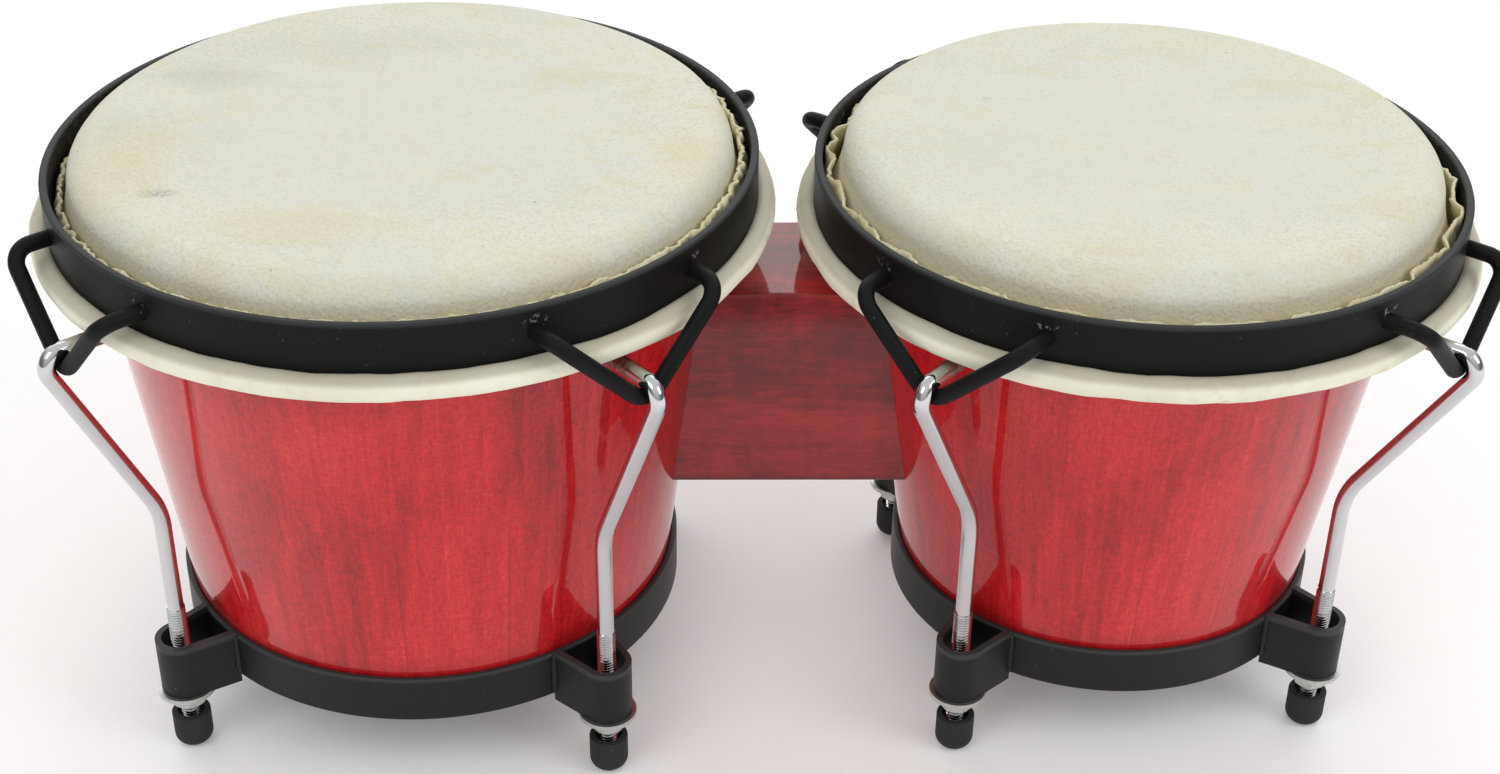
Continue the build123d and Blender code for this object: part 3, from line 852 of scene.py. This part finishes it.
def makeRawhide(drum):
    skin = Finish(drum["side"] + "Rawhide", drum["axisX"])
    broad = skin.noise(skin.stretched(skin.place, (1, 1.5, 1)), 17, 4, 0.55, 0.5)
    patches = skin.noise(skin.stretched(skin.place, (0.9, 1.6, 1)), 34, 5, 0.62, 0.5)
    cloudy = skin.noise(skin.place, 62, 5, 0.62)
    mottle = skin.noise(skin.place, 210, 5, 0.68)
    colour = skin.blendColours(skin.between(broad, 0.36, 0.62), hide["pale"], hide["grey"])
    colour = skin.blendColours(skin.between(patches, 0.52, 0.72) * 0.40, colour, hide["straw"])
    colour = skin.blendColours(skin.between(cloudy, 0.52, 0.74) * 0.25, colour, hide["cream"])
    for tint in ("straw", "dusky"):
        for spotX, spotY, wide, deep, strength in hide[drum["side"]][tint]:
            acrossSpot = (skin.x - spotX / 1000) * (1000 / wide)
            alongSpot = (skin.y - spotY / 1000) * (1000 / deep)
            off = (acrossSpot * acrossSpot + alongSpot * alongSpot) ** 0.5 + (cloudy - 0.5) * 1.3
            stain = skin.between(off, 1.15, 0.1) * (0.35 + 0.65 * mottle)
            colour = skin.blendColours(stain * strength, colour, hide[tint])
    worn = skin.between(skin.radius(), drum["headRadius"] - 0.020, drum["headRadius"])
    colour = skin.blendColours(worn * skin.between(cloudy, 0.40, 0.66) * 0.35, colour, hide["straw"])
    skirt = skin.between(skin.z, drum["headTop"] - 0.005, drum["headTop"] - 0.013)
    colour = skin.blendColours(skirt * 0.6, colour, hide["skirt"])
    specks = skin.between(skin.cells(skin.place, 105), 0.075, 0.03)
    keep = skin.between(skin.noise(skin.place, 33, 2), 0.60, 0.64)
    colour = skin.blendColours(specks * keep * 0.55, colour, hide["speck"])
    freckle = skin.between(skin.noise(skin.place, 420, 5, 0.72), 0.56, 0.72) * skin.between(cloudy, 0.44, 0.60)
    colour = skin.blendColours(skin.between(mottle, 0.56, 0.76) * 0.28, colour, hide["mottle"])
    colour = skin.blendColours(freckle * 0.30, colour, hide["freckle"])
    if hide[drum["side"]]["smudge"]:
        spotX, spotY = hide[drum["side"]]["smudge"]
        acrossSpot = skin.x - spotX / 1000
        alongSpot = (skin.y - spotY / 1000) * 2
        off = (acrossSpot * acrossSpot + alongSpot * alongSpot) ** 0.5
        scribble = skin.between(skin.noise(skin.place, 420, 4, 0.7, 1.5), 0.46, 0.58)
        mark = skin.between(off, 0.008, 0.002) * (0.3 + 0.7 * scribble)
        colour = skin.blendColours(mark * 0.6, colour, hide["smudge"])
    pebbles = skin.cells(skin.place, 900, "SMOOTH_F1")
    crease = skin.noise(skin.stretched(skin.place, (1, 2.4, 1)), 620, 4, 0.6, 0.4)
    height = pebbles * 0.5 + crease * 0.8 + cloudy * 0.6
    grain = skin.between(skin.noise(skin.place, 26, 3), 0.30, 0.65)
    nearEdge = skin.between(skin.radius(), 0.035, 0.085)
    # painted shade in the dimples of the pebbled grain, stronger towards the head's edge
    hollowShade = skin.between(pebbles, 0.50, 0.15)
    colour = skin.blendColours(hollowShade * (0.05 + 0.18 * grain + 0.22 * nearEdge), colour, hide["hollowShade"])
    net = skin.noise(skin.stretched(skin.place, (1, 1.3, 1)), 38, 4, 0.6, 1.2)
    veins = skin.between(abs(net - 0.5), 0.022, 0.004)
    colour = skin.blendColours(veins * mottle * 0.16, colour, hide["vein"])
    return skin.close({"Base Color": colour, "Roughness": 0.62 + 0.2 * cloudy, "Specular IOR Level": 0.35,
                       "Normal": skin.bump(height, 0.00042, 0.85)})


rolledHide = {
    "pale": (0.93, 0.92, 0.76),
    "cream": (0.86, 0.84, 0.66),
    "straw": (0.72, 0.66, 0.46),
    # the colour of the painted shade under the band
    "bandShade": (0.34, 0.30, 0.21),
    "grime": (0.55, 0.45, 0.26),
    "rust": (0.50, 0.30, 0.10),
}


def makeWrapHide(drum):
    skin = Finish(drum["side"] + "WrapHide", drum["axisX"])
    broad = skin.noise(skin.place, 26, 4, 0.6)
    fine = skin.noise(skin.place, 260, 5, 0.65)
    colour = skin.blendColours(skin.between(broad, 0.38, 0.62), rolledHide["pale"], rolledHide["cream"])
    colour = skin.blendColours(skin.between(fine, 0.52, 0.72) * 0.35, colour, rolledHide["straw"])
    grime = skin.between(skin.noise(skin.place, 90, 5, 0.7), 0.54, 0.74)
    # painted shade on the roll just under the band's lower edge
    bandShade = skin.between(skin.z, drum["rimLow"] - 0.0016, drum["rimLow"] + 0.0003)
    colour = skin.blendColours(bandShade * 0.55, colour, rolledHide["bandShade"])
    colour = skin.blendColours(grime * 0.38, colour, rolledHide["grime"])
    rustSpot = skin.between(skin.noise(skin.stretched(skin.place, (1, 1, 2)), 34, 3, 0.6), 0.66, 0.74)
    rustSpot = rustSpot * skin.between(fine, 0.44, 0.60)
    colour = skin.blendColours(rustSpot * 0.7, colour, rolledHide["rust"])
    height = fine * 0.7 + skin.cells(skin.place, 900, "SMOOTH_F1") * 0.5
    return skin.close({"Base Color": colour, "Roughness": 0.66 + 0.2 * fine, "Specular IOR Level": 0.35,
                       "Normal": skin.bump(height, 0.00018, 0.7)})


tuckedHide = {
    "pale": (0.76, 0.72, 0.50),
    "straw": (0.70, 0.63, 0.38),
    "stain": (0.50, 0.42, 0.22),
    # the colour of the painted shade deep inside the band
    "deep": (0.36, 0.31, 0.17),
}


def makeTuckHide(drum):
    skin = Finish(drum["side"] + "TuckHide", drum["axisX"])
    broad = skin.noise(skin.place, 60, 4, 0.6)
    fine = skin.noise(skin.place, 500, 5, 0.7)
    colour = skin.blendColours(skin.between(broad, 0.36, 0.64), tuckedHide["pale"], tuckedHide["straw"])
    colour = skin.blendColours(skin.between(fine, 0.50, 0.70) * 0.45, colour, tuckedHide["stain"])
    # painted shade: the tucked edge darkens deeper inside the band
    deep = skin.between(skin.z, drum["rimTop"] - 0.004, drum["rimTop"] - 0.013)
    colour = skin.blendColours(deep * 0.5, colour, tuckedHide["deep"])
    return skin.close({"Base Color": colour, "Roughness": 0.7 + 0.15 * fine, "Specular IOR Level": 0.3,
                       "Normal": skin.bump(fine, 0.0003, 0.8)})


coat = {
    "black": (0.0050, 0.0054, 0.0056),
    "cloud": (0.0100, 0.0106, 0.0108),
    # rubbed paint along the upper edge, partly a painted highlight
    "rubbedAndLitEdge": (0.056, 0.059, 0.060),
    "scratch": (0.09, 0.09, 0.088),
    "dust": (0.42, 0.41, 0.38),
    "chip": (0.34, 0.33, 0.31),
    "rubbed": (0.22, 0.21, 0.19),
    "chipLift": 0.0035,    # the chips gather this far above the holes' middle
    "clawHalfSpan": 0.028,
    "gloss": 0.11,
    # painted reflection: the base ring's copy of the powder coat gets more gloss so it looks lighter than the
    # band
    "ringLitGloss": 0.3,
}


def makePowderCoat(name, axisX, top=None, chips=None, innerFace=None, gloss=coat["gloss"]):
    steel = Finish(name, axisX)
    peel = steel.noise(steel.place, 1400, 2, 0.5)
    cloud = steel.noise(steel.place, 45, 4, 0.6)
    colour = steel.blendColours(cloud, coat["black"], coat["cloud"])
    if top is not None:  # the paint is thin and rubbed along the upper edge, and the lighter edge is partly a painted highlight
        rubbed = steel.between(steel.z, top - 0.0016, top - 0.0002)
        colour = steel.blendColours(rubbed * (0.45 + 0.4 * cloud), colour, coat["rubbedAndLitEdge"])
    scrapes = steel.noise(steel.stretched(steel.place, (1, 1, 7)), 190, 4, 0.7, 1.4)
    scratch = steel.between(scrapes, 0.70, 0.735)
    colour = steel.blendColours(scratch * 0.3, colour, coat["scratch"])
    specks = steel.between(steel.cells(steel.place, 310), 0.065, 0.03)
    where = steel.between(steel.noise(steel.place, 60, 3), 0.54, 0.62)
    colour = steel.blendColours(specks * where * 0.45, colour, coat["dust"])
    lint = steel.between(steel.noise(steel.place, 820, 3, 0.7), 0.715, 0.75)
    colour = steel.blendColours(lint * 0.5, colour, coat["dust"])
    if chips is not None:  # chipped paint round the wire's holes: (station angle, half span, hole height)
        turn, span, height = chips
        across = steel.x * math.cos(turn) + steel.y * math.sin(turn)
        along = steel.y * math.cos(turn) - steel.x * math.sin(turn)
        near = abs(across).through("MINIMUM", abs(along)) - span
        lift = steel.z - height - coat["chipLift"]
        off = (near * near + lift * lift * 2.2) ** 0.5
        flakes = steel.between(steel.noise(steel.place, 480, 4, 0.7), 0.56, 0.62)
        chip = steel.between(off, 0.0042, 0.0018) * flakes
        colour = steel.blendColours(chip * 0.6, colour, coat["chip"])
    if innerFace is not None:  # rubbed and dusty where the skin is tucked
        within = steel.between(steel.radius(), innerFace + 0.0009, innerFace + 0.0002)
        strokes = steel.noise(steel.stretched(steel.place, (1, 1, 3)), 330, 5, 0.75, 2.2)
        strokes = steel.between(strokes, 0.55, 0.64)
        colour = steel.blendColours(within * strokes * 0.45, colour, coat["rubbed"])
    rough = 0.40 + 0.16 * cloud + 0.12 * lint
    return steel.close({"Base Color": colour, "Roughness": rough, "Specular IOR Level": gloss,
                        "Normal": steel.bump(peel, 0.00003, 0.5)})


chromeTones = {
    "pale": (0.66, 0.67, 0.68),
    "smeared": (0.56, 0.57, 0.58),
    "rustLow": (0.11, 0.06, 0.05),
    "rustHigh": (0.46, 0.36, 0.32),
    "bareFrom": 0.0035,    # the plating ends this far inside the claw's apex
    "bareFull": 0.0075,
}


def makeChrome(drum):
    plate = Finish(drum["side"] + "Chrome", drum["axisX"])
    smear = plate.noise(plate.place, 120, 4, 0.6)
    hair = plate.noise(plate.stretched(plate.place, (6, 6, 1)), 300, 3, 0.6)
    apexRadius = drum["rimRadius"] + rod["apexOutset"]
    apexZ = drum["rodTop"] - rod["radius"] - rod["nest"]
    # the cut end of the hook is bare, brown and rough
    inward = plate.between(plate.radius(), apexRadius - chromeTones["bareFrom"],
                           apexRadius - chromeTones["bareFull"])
    bare = inward * plate.between(plate.z, apexZ, apexZ + 0.002)
    blotches = plate.noise(plate.place, 900, 4, 0.7)
    colour = plate.blendColours(smear, chromeTones["pale"], chromeTones["smeared"])
    rust = plate.ramp(blotches, (0.3, chromeTones["rustLow"]), (0.7, chromeTones["rustHigh"]))
    colour = plate.blendColours(bare, colour, rust)
    rough = 0.045 + 0.05 * plate.between(smear, 0.45, 0.7) + 0.03 * hair + bare * 0.35
    return plate.close({"Base Color": colour, "Metallic": 1.0, "Roughness": rough,
                        "Normal": plate.bump(blotches * bare * 6 + hair * 0.1, 0.00002, 0.4)})


zincTones = {
    "pale": (0.62, 0.64, 0.62),
    "dull": (0.44, 0.46, 0.44),
    "spot": (0.20, 0.19, 0.16),
}


def makeZinc():
    metal = Finish("dullZinc")
    cloud = metal.noise(metal.place, 170, 4, 0.65)
    fine = metal.noise(metal.place, 1500, 3, 0.6)
    colour = metal.blendColours(cloud, zincTones["pale"], zincTones["dull"])
    spots = metal.between(metal.noise(metal.place, 620, 3, 0.6), 0.62, 0.70)
    colour = metal.blendColours(spots * 0.5, colour, zincTones["spot"])
    return metal.close({"Base Color": colour, "Metallic": 1.0, "Roughness": 0.30 + 0.22 * cloud,
                        "Normal": metal.bump(fine + cloud, 0.00003, 0.6)})


hoopTones = {
    "pale": (0.33, 0.32, 0.31),
    "dark": (0.20, 0.18, 0.17),
}


def makeHoopSteel():
    metal = Finish("hoopSteel")
    cloud = metal.noise(metal.place, 90, 4)
    colour = metal.blendColours(cloud, hoopTones["pale"], hoopTones["dark"])
    return metal.close({"Base Color": colour, "Metallic": 1.0, "Roughness": 0.4 + 0.2 * cloud,
                        "Normal": metal.bump(cloud, 0.00004, 0.5)})


rubberTones = {
    "black": (0.016, 0.016, 0.017),
    "grey": (0.030, 0.030, 0.031),
    "dust": (0.12, 0.12, 0.115),
    "sole": (0.10, 0.098, 0.09),
}


def makeFootRubber():
    rubber = Finish("footRubber")
    cloud = rubber.noise(rubber.place, 150, 4, 0.6)
    fine = rubber.noise(rubber.place, 1300, 4, 0.7)
    dust = rubber.between(rubber.noise(rubber.place, 700, 4, 0.7), 0.60, 0.74)
    colour = rubber.blendColours(cloud, rubberTones["black"], rubberTones["grey"])
    colour = rubber.blendColours(dust * 0.35, colour, rubberTones["dust"])
    sole = rubber.between(rubber.z, 0.0025, 0.0004)
    colour = rubber.blendColours(sole * 0.5, colour, rubberTones["sole"])
    return rubber.close({"Base Color": colour, "Roughness": 0.66 + 0.2 * cloud, "Specular IOR Level": 0.35,
                         "Normal": rubber.bump(fine, 0.00008, 0.7)})


zinc, hoopSteel, footRubber = makeZinc(), makeHoopSteel(), makeFootRubber()
for drum in drums:
    side = drum["side"]
    paint(side + "_shell", makeCherryLacquer(drum))
    holeZ = (drum["rimTop"] + drum["rimLow"]) / 2
    clawHoles = (drum["rodAngle"], coat["clawHalfSpan"], holeZ)
    bandInside = drum["rimRadius"] - tuck["bandWall"]
    bandCoat = makePowderCoat(side + "BandCoat", drum["axisX"], drum["rimTop"], clawHoles, bandInside)
    paint(side + "_rim", bandCoat)
    paint(side + "_claws", makePowderCoat(side + "ClawCoat", drum["axisX"]))
    # a lit copy of the powder coat, with the extra gloss of painted reflection
    ringCoat = makePowderCoat(side + "RingCoat", drum["axisX"], drum["ringTop"], gloss=coat["ringLitGloss"])
    for name in ("_base_ring", "_lugs"):
        paint(side + name, ringCoat)
    pieces[side, "welds"].data.materials.append(ringCoat)
    pieces[side, "skin"].data.materials.append(makeRawhide(drum))
    pieces[side, "roll"].data.materials.append(makeWrapHide(drum))
    pieces[side, "edge"].data.materials.append(makeTuckHide(drum))
    chrome = makeChrome(drum)
    for station in stationNames:
        pieces[side, station].data.materials.append(chrome)
        paint(side + "_nut_" + station, zinc)
        paint(side + "_foot_" + station, footRubber)
    for name in ("_washers", "_block_bolts", "_block_washers"):
        paint(side + name, zinc)
    paint(side + "_flesh_hoop", hoopSteel)
paint("centre_block", makeBlockLacquer())
print("finishes made")
